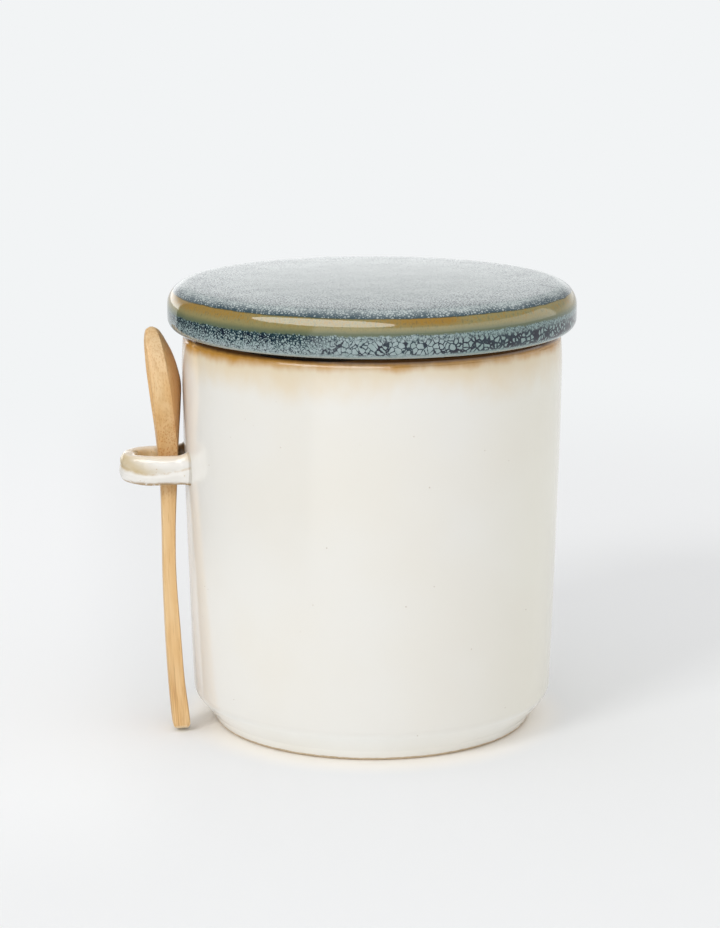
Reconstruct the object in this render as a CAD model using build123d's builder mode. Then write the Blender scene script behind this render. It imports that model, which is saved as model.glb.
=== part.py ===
from build123d import *
from math import cos, radians, sin, sqrt, tan
import os

# A stoneware jar with a lid, and a bamboo spoon that stands in a clay ring on the jar's wall.
# Millimetres. +Z is up, and the origin is on the jar's axis, on the floor that it stands on.
# The ring and the spoon are on the -X side.

os.makedirs("parts", exist_ok=True)

# Jar body
wall_radius = 60.2  # widest ring of the wall
body_height = 127.0  # floor to the top of the rim
shoulder_drop = 15.0  # rim down to the widest ring
rim_inset = 1.3  # outside of the rim, in from the widest ring
rim_thickness = 4.5
wall_taper = 2.6  # foot of the wall, in from the widest ring
wall_swell = 0.3  # how far the wall bows out between its foot and the widest ring
wall_thickness = 5.0
heel_height = 9.7  # foot of the wall, at the top of the bevel
bevel_width = 6.1  # foot ring, in from the foot of the wall
foot_height = 3.4  # where the bevel starts
foot_width = 7.0
recess_depth = 2.5  # hollow inside the foot ring
floor_height = 7.0  # inside of the bottom
mouth_depth = 15.0  # straight part of the mouth
foot_round = 1.4
crease_round = 1.6
heel_round = 4.0
rim_outer_round = 2.0
rim_inner_round = 1.4
floor_round = 8.0
recess_round = 1.0

# Lid
lid_overhang = 4.3  # past the widest ring of the wall
lid_height = 14.9  # rim to crown
lid_crown_rise = 0.4  # crown above the top's edge
lid_top_round = 6.6
lid_lower_round = 3.7
flange_play = 2.2  # between the flange and the mouth
flange_depth = 8.0
flange_thickness = 6.0
lid_hollow_height = 7.0  # hollow below the lid, above the rim
lid_hollow_round = 4.0
flange_round = 1.2

# Seal in the middle of the flange
groove_width = 3.6
groove_depth = 1.6
seal_play = 0.3  # between the seal and the mouth
seal_side_play = 0.05
seal_rib_radius = 0.55

# Ring for the spoon, just below the spoon's bowl
ring_reach = 20.3  # past the widest ring of the wall
ring_play = 1.7  # beside the spoon's stem, in the hole
neck_gap = 0.37  # between the ring's top and the start of the bowl
strap_thickness = 5.0
strap_height = 9.0
strap_round_share = 0.44
weld_length = 5.0  # where the strap starts to spread towards the wall
weld_root = 6.0  # how far the strap's ends reach in behind the wall before they are cut to it
weld_spread = 2.4

# Spoon
tip_rise = 0.7  # end of the spoon's line above the rim
spoon_lean = 2.76  # degrees, away from the jar
spoon_tilt = 7.53  # degrees, along the wall
stem_width = 8.0
stem_thickness = 5.0
bowl_length = 39.2
bowl_width = 22.0
bowl_rim = 2.0  # wall left beside the hollow
bowl_end = 4.1  # wall left at each end of the hollow
belly_depth = 8.0  # from the spoon's line to the deepest point of the belly
hollow_depth = 5.5
spoon_edge_round = 0.8
wall_gap = 0.3  # between the belly and the wall that it leans on
floor_gap = 0.4  # below the lowest corner of the spoon's foot

# Sections of the spoon, from the foot up. Each row has the place along the stem or the bowl, the
# width, the outer face, the lower edge of the side face and the back. Widths and depths of the
# first table are shares of the stem's, and those of the second are shares of the bowl's.
stem_section_shares = [
    (0.000, 1.02, 0.42, -0.58, -0.66),
    (0.058, 1.04, 0.48, -0.54, -0.63),
    (0.173, 1.00, 0.52, -0.41, -0.50),
    (0.345, 0.96, 0.51, -0.38, -0.47),
    (0.547, 0.92, 0.41, -0.36, -0.45),
    (0.719, 0.94, 0.29, -0.52, -0.62),
    (0.885, 1.00, 0.21, -0.80, -0.92),
]
bowl_middle_shares = (0.525, 1.00, 0.24, -0.48, -1.00)
bowl_section_shares = [
    (0.000, 0.42, 0.11, -0.63, -0.71),
    (0.197, 0.70, 0.14, -0.59, -0.83),
    (0.361, 0.92, 0.19, -0.54, -0.93),
    bowl_middle_shares,
    (0.656, 0.95, 0.28, -0.41, -0.91),
    (0.777, 0.80, 0.30, -0.35, -0.75),
    (0.879, 0.58, 0.31, -0.28, -0.53),
    (0.954, 0.34, 0.27, -0.18, -0.32),
    (1.000, 0.14, 0.15, -0.06, -0.12),
]


def corner(sketch, point):
    """The corner of a sketch nearest to a point."""
    return sketch.vertices().sort_by_distance(point)[0]


# Outside of the jar, as a solid body of clay. The ring's ends are cut to it too.
widest_height = body_height - shoulder_drop
rim_radius = wall_radius - rim_inset
mouth_radius = rim_radius - rim_thickness
heel_radius = wall_radius - wall_taper
foot_radius = heel_radius - bevel_width
foot_corner = (foot_radius, 0)
crease_corner = (foot_radius, foot_height)
heel_corner = (heel_radius, heel_height)
widest_point = (wall_radius, widest_height)
rim_outer_corner = (rim_radius, body_height)
wall_middle = (
    (heel_radius + wall_radius) / 2 + wall_swell,
    (heel_height + widest_height) / 2,
)

with BuildPart() as jar_outside:
    with BuildSketch(Plane.XZ) as outside_profile:
        with BuildLine():
            Polyline((0, 0), foot_corner, crease_corner, heel_corner)
            wall_line = ThreePointArc(heel_corner, wall_middle, widest_point)
            TangentArc(widest_point, rim_outer_corner, tangent=wall_line % 1)
            Polyline(rim_outer_corner, (0, body_height), (0, 0))
        make_face()
        fillet(corner(outside_profile, foot_corner), foot_round)
        fillet(corner(outside_profile, crease_corner), crease_round)
        fillet(corner(outside_profile, heel_corner), heel_round)
        fillet(corner(outside_profile, rim_outer_corner), rim_outer_round)
    revolve(axis=Axis.Z)

# Jar body: that outside with the inside and the foot's recess taken out
mouth_edge = (mouth_radius, body_height)
mouth_foot = (mouth_radius, body_height - mouth_depth)
inside_corner = (heel_radius - wall_thickness, floor_height)
inside_middle = (
    (inside_corner[0] + mouth_radius) / 2 + wall_swell,
    (inside_corner[1] + mouth_foot[1]) / 2,
)
recess_radius = foot_radius - foot_width
recess_corner = (recess_radius, recess_depth)

with BuildPart() as jar_body:
    add(jar_outside.part)
    with BuildSketch(Plane.XZ) as inside_profile:
        with BuildLine():
            Polyline((0, floor_height), (0, body_height), mouth_edge, mouth_foot)
            ThreePointArc(mouth_foot, inside_middle, inside_corner)
            Line(inside_corner, (0, floor_height))
        make_face()
        fillet(corner(inside_profile, inside_corner), floor_round)
    revolve(axis=Axis.Z, mode=Mode.SUBTRACT)
    with BuildSketch(Plane.XZ) as recess_profile:
        with BuildLine():
            Polyline((0, 0), (recess_radius, 0), recess_corner, (0, recess_depth), close=True)
        make_face()
        fillet(corner(recess_profile, recess_corner), recess_round)
    revolve(axis=Axis.Z, mode=Mode.SUBTRACT)
    rim_edges = jar_body.edges().filter_by_position(Axis.Z, body_height, body_height)
    fillet(rim_edges.filter_by(GeomType.CIRCLE).sort_by(SortBy.RADIUS)[0], rim_inner_round)
jar_body.part.label = "jar_body"
export_step(jar_body.part, "parts/jar_body.step")

# Lid: seats on the rim, with a flange that drops into the mouth
lid_radius = wall_radius + lid_overhang
lid_top = body_height + lid_height
flange_radius = mouth_radius - flange_play
flange_foot = body_height - flange_depth
lid_hollow_radius = flange_radius - flange_thickness
lid_hollow_roof = body_height + lid_hollow_height
lid_shoulder = (lid_radius, lid_top - lid_crown_rise)
lid_lower_corner = (lid_radius, body_height)
lid_hollow_corner = (lid_hollow_radius, lid_hollow_roof)
flange_outer_corner = (flange_radius, flange_foot)
flange_inner_corner = (lid_hollow_radius, flange_foot)
groove_middle = body_height - flange_depth / 2

with BuildPart() as lid:
    with BuildSketch(Plane.XZ) as lid_profile:
        with BuildLine():
            TangentArc((0, lid_top), lid_shoulder, tangent=(1, 0))
            Polyline(lid_shoulder, lid_lower_corner, (flange_radius, body_height), flange_outer_corner)
            Polyline(flange_outer_corner, flange_inner_corner, lid_hollow_corner)
            Polyline(lid_hollow_corner, (0, lid_hollow_roof), (0, lid_top))
        make_face()
        fillet(corner(lid_profile, lid_shoulder), lid_top_round)
        fillet(corner(lid_profile, lid_lower_corner), lid_lower_round)
        fillet(corner(lid_profile, lid_hollow_corner), lid_hollow_round)
        fillet(corner(lid_profile, flange_outer_corner), flange_round)
        fillet(corner(lid_profile, flange_inner_corner), flange_round)
    revolve(axis=Axis.Z)
    with BuildSketch(Plane.XZ):
        with Locations((flange_radius, groove_middle)):
            Rectangle(2 * groove_depth, groove_width)
    revolve(axis=Axis.Z, mode=Mode.SUBTRACT)
lid.part.label = "lid"
export_step(lid.part, "parts/lid.step")

# Seal: a band in the groove with two soft ribs towards the mouth
seal_inner_radius = flange_radius - groove_depth
seal_outer_radius = mouth_radius - seal_play
rib_centre_radius = seal_outer_radius - seal_rib_radius
seal_height = groove_width - 2 * seal_side_play
rib_offset = seal_height / 2 - seal_rib_radius
band_width = rib_centre_radius - seal_inner_radius

with BuildPart() as lid_seal:
    with BuildSketch(Plane.XZ):
        with Locations((seal_inner_radius, groove_middle)):
            Rectangle(groove_depth, seal_height, align=(Align.MIN, Align.CENTER))
        for side in (-1, 1):
            with Locations((seal_inner_radius, groove_middle + side * rib_offset)):
                Rectangle(band_width, 2 * seal_rib_radius, align=(Align.MIN, Align.CENTER))
            with Locations((rib_centre_radius, groove_middle + side * rib_offset)):
                Circle(seal_rib_radius)
    revolve(axis=Axis.Z)
lid_seal.part.label = "lid_seal"
export_step(lid_seal.part, "parts/lid_seal.step")

# Place of the spoon: it stands on the floor, passes through the middle of the ring and leans its
# belly on the wall. Along runs up it, outward points away from the jar and across is its width.
away_from_jar = Vector(-1, 0, 0)
along = Vector(-tan(radians(spoon_lean)), tan(radians(spoon_tilt)), 1).normalized()
outward = (away_from_jar - along * away_from_jar.dot(along)).normalized()
across = along.cross(outward)

foot_half_width = stem_width * stem_section_shares[0][1] / 2
foot_outer_face = stem_thickness * stem_section_shares[0][2]
foot_lift = foot_half_width * abs(across.Z) + foot_outer_face * abs(outward.Z) + floor_gap
spoon_length = (body_height + tip_rise - foot_lift) / along.Z
stem_length = spoon_length - bowl_length
belly_place = stem_length + bowl_length * bowl_middle_shares[0]
ring_height = foot_lift + stem_length * along.Z - neck_gap - strap_height / 2
foot_y = -(ring_height - foot_lift) * tan(radians(spoon_tilt))
belly_y = foot_y + belly_place * along.Y - belly_depth * outward.Y
belly_x = -sqrt((wall_radius + wall_gap) ** 2 - belly_y**2)
foot_x = belly_x - belly_place * along.X + belly_depth * outward.X
foot_point = Vector(foot_x, foot_y, foot_lift)
spoon_plane = Plane(origin=foot_point, x_dir=outward, z_dir=along)

# Ring: a flat strap of clay in a U, with its two ends spread on the wall
strap_round = strap_thickness * strap_round_share
ring_opening = stem_width + 2 * ring_play
strap_offset = (ring_opening + strap_thickness) / 2
tip_centre = wall_radius + ring_reach - strap_thickness / 2 - strap_offset
root_radius = wall_radius - weld_root
weld_start = wall_radius + weld_length
weld_width = strap_thickness + weld_spread
weld_height = strap_height + 2 * weld_spread

with BuildPart() as spoon_ring:
    with BuildLine(Plane.XY.offset(ring_height)) as strap_path:
        Line((-root_radius, -strap_offset), (-tip_centre, -strap_offset))
        ThreePointArc(
            (-tip_centre, -strap_offset),
            (-tip_centre - strap_offset, 0),
            (-tip_centre, strap_offset),
        )
        Line((-tip_centre, strap_offset), (-root_radius, strap_offset))
    with BuildSketch(Plane.YZ.offset(-root_radius)):
        with Locations((-strap_offset, ring_height)):
            RectangleRounded(strap_thickness, strap_height, strap_round)
    sweep(path=strap_path.wires()[0])
    for side in (-1, 1):
        with BuildSketch(Plane.YZ.offset(-weld_start)):
            with Locations((side * strap_offset, ring_height)):
                RectangleRounded(strap_thickness, strap_height, strap_round)
        with BuildSketch(Plane.YZ.offset(-root_radius)):
            with Locations((side * (strap_offset + weld_spread / 2), ring_height)):
                RectangleRounded(weld_width, weld_height, strap_round)
        loft()
    add(jar_outside.part, mode=Mode.SUBTRACT)
spoon_ring.part.label = "spoon_ring"
export_step(spoon_ring.part, "parts/spoon_ring.step")

# Spoon: lofted through its sections, with the hollow of the bowl turned out of it
spoon_sections = []
for section_shares, start, length, section_width, section_depth in (
    (stem_section_shares, 0, stem_length, stem_width, stem_thickness),
    (bowl_section_shares, stem_length, bowl_length, bowl_width, belly_depth),
):
    for place, width, *faces in section_shares:
        depths = [face * section_depth for face in faces]
        spoon_sections.append((start + place * length, width * section_width, *depths))

hollow_width = bowl_width - 2 * bowl_rim
hollow_length = bowl_length - 2 * bowl_end
hollow_radius = ((hollow_width / 2) ** 2 + hollow_depth**2) / (2 * hollow_depth)
hollow_rise = hollow_radius - hollow_depth
rim_face = belly_depth * bowl_middle_shares[2]
hollow_centre = foot_point + along * belly_place + outward * (rim_face + hollow_rise)
hollow_plane = Plane(origin=hollow_centre, x_dir=along, z_dir=across)

with BuildPart() as spoon:
    for place, width, outer_face, side_edge, back in spoon_sections:
        with BuildSketch(spoon_plane.offset(place)) as section:
            with BuildLine():
                Polyline(
                    (side_edge, -width / 2),
                    (outer_face, -width / 2),
                    (outer_face, width / 2),
                    (side_edge, width / 2),
                )
                ThreePointArc((side_edge, width / 2), (back, 0), (side_edge, -width / 2))
            make_face()
            section_round = min(spoon_edge_round, (outer_face - side_edge) / 3, width / 5)
            fillet(section.vertices(), section_round)
    loft()
    with BuildSketch(hollow_plane):
        with BuildLine():
            ThreePointArc(
                (-hollow_length / 2, -hollow_rise),
                (0, -hollow_radius),
                (hollow_length / 2, -hollow_rise),
            )
            Polyline(
                (hollow_length / 2, -hollow_rise),
                (hollow_length / 2, 0),
                (-hollow_length / 2, 0),
                (-hollow_length / 2, -hollow_rise),
            )
        make_face()
    revolve(axis=Axis(hollow_centre, along), mode=Mode.SUBTRACT)
spoon.part.label = "spoon"
export_step(spoon.part, "parts/spoon.step")
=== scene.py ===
"""The olive jar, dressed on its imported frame.

A stoneware body with a cream glaze, a lid with a reactive glaze and a silicone seal, a clay
ring on the wall and a bamboo spoon that stands in it. Lengths are in metres.
"""
import logging
import math
from dataclasses import dataclass
from enum import Enum
from typing import Any, ClassVar

import bmesh
import bpy
from mathutils import Matrix, Vector, noise


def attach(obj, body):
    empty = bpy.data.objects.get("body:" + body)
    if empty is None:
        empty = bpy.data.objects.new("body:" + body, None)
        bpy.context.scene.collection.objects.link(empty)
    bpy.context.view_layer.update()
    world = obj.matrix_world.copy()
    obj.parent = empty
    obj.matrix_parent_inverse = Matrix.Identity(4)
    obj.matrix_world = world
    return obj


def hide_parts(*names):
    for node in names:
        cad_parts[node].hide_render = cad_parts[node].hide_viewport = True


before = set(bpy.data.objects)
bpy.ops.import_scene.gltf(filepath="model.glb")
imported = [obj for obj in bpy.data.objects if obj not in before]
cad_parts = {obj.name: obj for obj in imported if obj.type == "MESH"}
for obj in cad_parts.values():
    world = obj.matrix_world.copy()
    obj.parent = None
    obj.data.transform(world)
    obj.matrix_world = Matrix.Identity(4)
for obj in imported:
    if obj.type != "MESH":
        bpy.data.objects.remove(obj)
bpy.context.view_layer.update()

log = logging.getLogger("olive_jar")

Colour = tuple[float, float, float, float]
Triple = tuple[float, float, float]
Point = tuple[float, float]
Span = tuple[float, float]
Socket = bpy.types.NodeSocket
Shape = bmesh.types.BMesh


class Body(Enum):
    """The bodies that pieces ride on."""

    JAR = "jar"
    LID = "lid"
    SPOON = "spoon"


class Slot(Enum):
    """The material slots."""

    JAR_GLAZE = "jar_glaze"
    RING_GLAZE = "ring_glaze"
    LID_GLAZE = "lid_glaze"
    SEAL_SILICONE = "seal_silicone"
    BAMBOO = "bamboo"


class Gauge(Enum):
    """What is measured in a field of cells: the way to a cell's edge or to its centre."""

    EDGE = "DISTANCE_TO_EDGE"
    CENTRE = "F1"


class Shows(Enum):
    """Whether a lamp lights the surfaces or is only mirrored in them."""

    LIGHT = "light"
    GLINT = "glint"


class LampShape(Enum):
    """The outline of a lamp's face."""

    OBLONG = "RECTANGLE"
    OVAL = "ELLIPSE"


def tone(red: int, green: int, blue: int) -> Colour:
    """Turn a colour written from 0 to 255 into the linear one that shaders take.

    Args:
        red: Red, from 0 to 255.
        green: Green, from 0 to 255.
        blue: Blue, from 0 to 255.

    Returns:
        The linear colour with full alpha.
    """
    def linear(level: int) -> float:
        """Undo the display curve for one channel."""
        share = level / 255
        return share / 12.92 if share <= 0.04045 else ((share + 0.055) / 1.055) ** 2.4

    return linear(red), linear(green), linear(blue), 1.0


class Signal:
    """A number that changes over a surface. Arithmetic on it adds Math nodes."""

    def __init__(self, bench: "Bench", socket: Socket) -> None:
        """Wrap a socket of a bench's node tree."""
        self.bench = bench
        self.socket = socket

    def __add__(self, other: "Signal | float") -> "Signal":
        """Add a signal or a number."""
        return self.bench.maths("ADD", self, other)

    __radd__ = __add__

    def __mul__(self, other: "Signal | float") -> "Signal":
        """Multiply by a signal or a number."""
        return self.bench.maths("MULTIPLY", self, other)

    __rmul__ = __mul__

    def __sub__(self, other: "Signal | float") -> "Signal":
        """Take away a signal or a number."""
        return self.bench.maths("SUBTRACT", self, other)

    def __rsub__(self, other: float) -> "Signal":
        """Take this signal from a number."""
        return self.bench.maths("SUBTRACT", other, self)

    def __truediv__(self, other: "Signal | float") -> "Signal":
        """Divide by a signal or a number."""
        return self.bench.maths("DIVIDE", self, other)

    def __neg__(self) -> "Signal":
        """Turn the sign."""
        return self.bench.maths("MULTIPLY", self, -1.0)

    def __abs__(self) -> "Signal":
        """Drop the sign."""
        return self.bench.maths("ABSOLUTE", self)

    def over(self, low: float, high: float) -> "Signal":
        """Rise smoothly from 0 at low to 1 at high, or fall if high is the lower.

        Args:
            low: Where the result is 0.
            high: Where the result is 1.

        Returns:
            The smooth step, between 0 and 1.
        """
        first, last = sorted((low, high))
        node = self.bench.node(
            "ShaderNodeMapRange",
            {"interpolation_type": "SMOOTHSTEP"},
            {"Value": self, "From Min": first, "From Max": last},
        )
        step = Signal(self.bench, node.outputs["Result"])
        return step if low < high else 1.0 - step

    def most(self, other: "Signal | float") -> "Signal":
        """Take the larger of two."""
        return self.bench.maths("MAXIMUM", self, other)

    def least(self, other: "Signal | float") -> "Signal":
        """Take the smaller of two."""
        return self.bench.maths("MINIMUM", self, other)


@dataclass
class Bench:
    """Places and joins the nodes of one material, or of the world."""

    tree: bpy.types.NodeTree

    def __post_init__(self) -> None:
        """Start from an empty tree."""
        self.tree.nodes.clear()

    def node(self, kind: str, settings: dict[str, Any] | None = None,
             sockets: dict[Any, Any] | None = None) -> bpy.types.Node:
        """Add a node, set it up, then fill or link its sockets.

        Args:
            kind: The node's type.
            settings: Its settings by name.
            sockets: Values or links by the socket's name or number.

        Returns:
            The new node.
        """
        made = self.tree.nodes.new(kind)
        for name, value in (settings or {}).items():
            setattr(made, name, value)
        for key, value in (sockets or {}).items():
            self.feed(made.inputs[key], value)
        return made

    def feed(self, socket: Socket, value: Any) -> None:
        """Link a signal or a socket into a socket, or set a plain value on it.

        Args:
            socket: The socket that takes the value.
            value: What it takes.
        """
        if isinstance(value, Signal):
            value = value.socket
        if isinstance(value, Socket):
            self.tree.links.new(value, socket)
        else:
            socket.default_value = value

    def maths(self, operation: str, *values: "Signal | float") -> Signal:
        """Add a Math node with its operands in order."""
        node = self.node("ShaderNodeMath", {"operation": operation}, dict(enumerate(values)))
        return Signal(self, node.outputs[0])

    def spot(self) -> Socket:
        """The place on the piece, in its own coordinates."""
        return self.node("ShaderNodeTexCoord").outputs["Object"]

    def parts(self, vector: Socket) -> tuple[Signal, Signal, Signal]:
        """Split a vector into its three numbers."""
        node = self.node("ShaderNodeSeparateXYZ", None, {"Vector": vector})
        return tuple(Signal(self, node.outputs[axis]) for axis in "XYZ")

    def reach(self, x: Signal, y: Signal) -> Signal:
        """The distance from an axis along Z."""
        return self.maths("SQRT", x * x + y * y)

    def rays(self) -> tuple[Signal, Signal]:
        """Whether a ray comes straight from the camera, and whether it was mirrored."""
        path = self.node("ShaderNodeLightPath")
        return tuple(Signal(self, path.outputs[f"Is {way} Ray"]) for way in ("Camera", "Glossy"))

    def turned(self, place: Socket, stretch: Triple = (1, 1, 1), turn: Triple = (0, 0, 0)) -> Socket:
        """Turn a place, and stretch it: a pattern runs long on an axis with a small factor."""
        sockets = {"Vector": place, "Rotation": turn, "Scale": stretch}
        return self.node("ShaderNodeMapping", None, sockets).outputs["Vector"]

    def cloud(self, place: Socket, size: float, detail: float = 2.0, rough: float = 0.5) -> Signal:
        """Soft noise around 0.5, with features of this size, finer layers and their strength."""
        sockets = {"Vector": place, "Scale": 1 / size, "Detail": detail, "Roughness": rough}
        return Signal(self, self.node("ShaderNodeTexNoise", None, sockets).outputs["Fac"])

    def cells(self, place: Socket, size: float, gauge: Gauge) -> Signal:
        """Distance inside a field of cells of this size, as a share of the size."""
        settings, sockets = {"feature": gauge.value}, {"Vector": place, "Scale": 1 / size}
        return Signal(self, self.node("ShaderNodeTexVoronoi", settings, sockets).outputs["Distance"])

    def pits(self, place: Socket, size: float, width: Span, patches: Signal) -> Signal:
        """Pinholes in a glaze, this far apart, over this width of their cells, in patches."""
        return self.cells(place, size, Gauge.CENTRE).over(*width) * patches

    def shifted(self, place: Socket, size: float, reach: float) -> Socket:
        """Push a place about with noise, so that a pattern on it looks grown.

        Args:
            place: The place to push.
            size: Length of one bend in metres.
            reach: How far it is pushed in metres.

        Returns:
            The pushed place.
        """
        sockets = {"Vector": place, "Scale": 1 / size, "Detail": 1.0}
        wander = self.node("ShaderNodeTexNoise", None, sockets).outputs["Color"]
        for operation, operands in (
            ("SUBTRACT", {1: (0.5, 0.5, 0.5)}), ("SCALE", {"Scale": 2 * reach}), ("ADD", {1: place}),
        ):
            wander = self.node("ShaderNodeVectorMath", {"operation": operation},
                               {0: wander} | operands).outputs[0]
        return wander

    def coats(self, under: Any, *coats: tuple["Signal | float", Any]) -> Socket:
        """Lay colours over a first one, each by its own share.

        Args:
            under: The first colour or its socket.
            coats: The share and the colour of each coat in order.

        Returns:
            The colour that shows.
        """
        for share, colour in coats:
            under = self.node("ShaderNodeMix", {"data_type": "RGBA"},
                              {0: share, 6: under, 7: colour}).outputs[2]
        return under

    def bumps(self, *layers: tuple[Signal, float, float]) -> Socket:
        """Bend the normal by one relief after another.

        Args:
            layers: For each its height from 0 to 1, what a height of 1 stands for in metres,
                and how fully it shows.

        Returns:
            The normal.
        """
        normal = None
        for height, depth, strength in layers:
            sockets = {"Height": height, "Distance": depth, "Strength": strength}
            if normal is not None:
                sockets["Normal"] = normal
            normal = self.node("ShaderNodeBump", None, sockets).outputs["Normal"]
        return normal


class Finish:
    """What every finish shares: a name, and one Principled surface fed by its own nodes."""

    name: ClassVar[str]

    def sockets(self, b: Bench) -> dict[str, Any]:
        """Work out what the surface's sockets take. Each finish has its own way."""
        raise NotImplementedError

    def material(self) -> bpy.types.Material:
        """Build the finish.

        Returns:
            The material.
        """
        material, b = new_bench(self.name)
        shader = b.node("ShaderNodeBsdfPrincipled", None, self.sockets(b))
        b.node("ShaderNodeOutputMaterial", None, {"Surface": shader.outputs[0]})
        return material


def new_bench(name: str) -> tuple[bpy.types.Material, Bench]:
    """Make an empty material and the bench that fills it.

    Args:
        name: The material's name.

    Returns:
        The material and its bench.
    """
    material = bpy.data.materials.new(name)
    material.use_nodes = True
    return material, Bench(material.node_tree)


@dataclass(frozen=True)
class CreamGlaze(Finish):
    """Cream glaze that breaks to amber where it runs thin below the rim, on a bare clay foot."""

    name = "cream glaze"
    rim_height: float = 0.127
    foot_height: float = 0.0009
    left_side: Span = (-0.030, -0.056)
    right_side: Span = (0.034, 0.052)
    warm_bounce_side: Span = (0.015, 0.058)
    heel: Span = (0.0112, 0.0080)
    tan_below_rim: Span = (0.0165, 0.0030)
    amber_below_rim: Span = (0.0050, 0.0014)
    darkening_below_rim: Span = (0.0027, 0.0011)
    gap_middle: float = -0.028
    outer_face: Span = (0.0578, 0.0584)
    lip: Span = (0.12665, 0.12690)
    lip_edge: Span = (0.0580, 0.0576)
    cream: Colour = tone(237, 235, 229)
    warm_cloud: Colour = tone(234, 228, 214)
    painted_heel_light: Colour = tone(249, 249, 245)
    pale_tan: Colour = tone(232, 211, 173)
    amber: Colour = tone(198, 142, 50)
    rim_brown: Colour = tone(92, 60, 26)
    painted_gap_shadow: Colour = tone(24, 14, 6)
    painted_warm_bounce: Colour = tone(241, 238, 225)
    clay: Colour = tone(214, 196, 168)
    speck: Colour = tone(150, 118, 80)

    def sockets(self, b: Bench) -> dict[str, Any]:
        """Run the cream from the rim to the foot.

        Args:
            b: The material's bench.

        Returns:
            What each socket takes.
        """
        place = b.spot()
        x, y, z = b.parts(place)
        radius = b.reach(x, y)
        runs = b.cloud(b.turned(place, (1, 1, 0.7)), 0.008, 3) - 0.5
        fine = b.cloud(b.turned(place, (1, 1, 0.5)), 0.0022) - 0.5
        blots = b.cloud(b.turned(place, (1, 1, 0.8)), 0.0065) - 0.5
        drift = b.cloud(place, 0.045)
        left = x.over(*self.left_side)
        below_rim = self.rim_height - z + runs * 0.0026 + fine * 0.0008
        thin = below_rim - left * 0.0012 - x.over(*self.right_side) * 0.0004 - blots * 0.0022
        tan_reach = below_rim + runs * 0.006 + left * 0.0016 - (drift - 0.5) * 0.016
        # Darker brown over the last few millimetres below the rim, fading into the amber
        rim_darkening = (self.rim_height - z + fine * 0.0005).over(*self.darkening_below_rim)

        # Painted shadow of the lid in the gap under it, deepest left of the middle
        shade_reach = 0.0006 + abs(x - self.gap_middle).over(0.018, 0.006) * 0.0008
        gap_shadow = ((self.rim_height - z + fine * 0.0002) / shade_reach).over(1.15, 0.85)
        pit = b.pits(place, 0.0042, (0.055, 0.03), b.cloud(place, 0.011, 1).over(0.52, 0.6))

        # Bare clay on the foot and on the lip that the lid sits on
        foot_line = z + fine * 0.0006
        wiped = z.over(*self.lip) * (radius + fine * 0.0004).over(*self.lip_edge)
        bare = foot_line.over(self.foot_height + 0.0002, self.foot_height - 0.0002).most(wiped)
        grit = b.cloud(place, 0.0006, 2, 0.6)
        colour = b.coats(
            self.cream,
            # Painted warm bounce light on the right side of the wall
            (x.over(*self.warm_bounce_side), self.painted_warm_bounce),
            # Painted light: the heel is lighter than the wall, standing for light bounced up from the
            # floor
            (z.over(*self.heel), self.painted_heel_light),
            (drift.over(0.35, 0.72) * 0.35, self.warm_cloud),
            (tan_reach.over(*self.tan_below_rim) * 0.77, self.pale_tan),
            (thin.over(*self.amber_below_rim) * 0.95, self.amber),
            (rim_darkening, self.rim_brown),
            # Painted shadow in the gap under the lid
            (gap_shadow * radius.over(*self.outer_face), self.painted_gap_shadow),
            (pit * 0.55, self.speck),
            (bare, b.coats(self.clay, (grit.over(0.3, 0.7) * 0.35, self.speck))),
        )
        normal = b.bumps(
            (b.cloud(b.turned(place, (1, 1, 0.45)), 0.016, 1.5, 0.4), 0.0005, 0.16),
            (b.cloud(place, 0.0035), 0.00006, 0.5),
            (1.0 - pit - grit * bare * 0.5, 0.00012, 0.7),
        )
        return {"Base Color": colour, "Roughness": 0.09 + drift * 0.05 + bare * 0.6,
                "IOR": 1.5, "Normal": normal}


@dataclass(frozen=True)
class Seam:
    """The sagging seam of the rolled clay, which is pressed into the strap and holds less glaze."""

    unit: float = 0.01
    drop: float = 0.0007
    slope: float = 0.0002
    sag: float = 0.0016

    def rise(self, along: Any) -> Any:
        """How far the seam lies above the strap's middle, at a distance behind the tip's centre."""
        run = along / self.unit
        return run * self.slope + run * run * self.sag - self.drop


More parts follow.
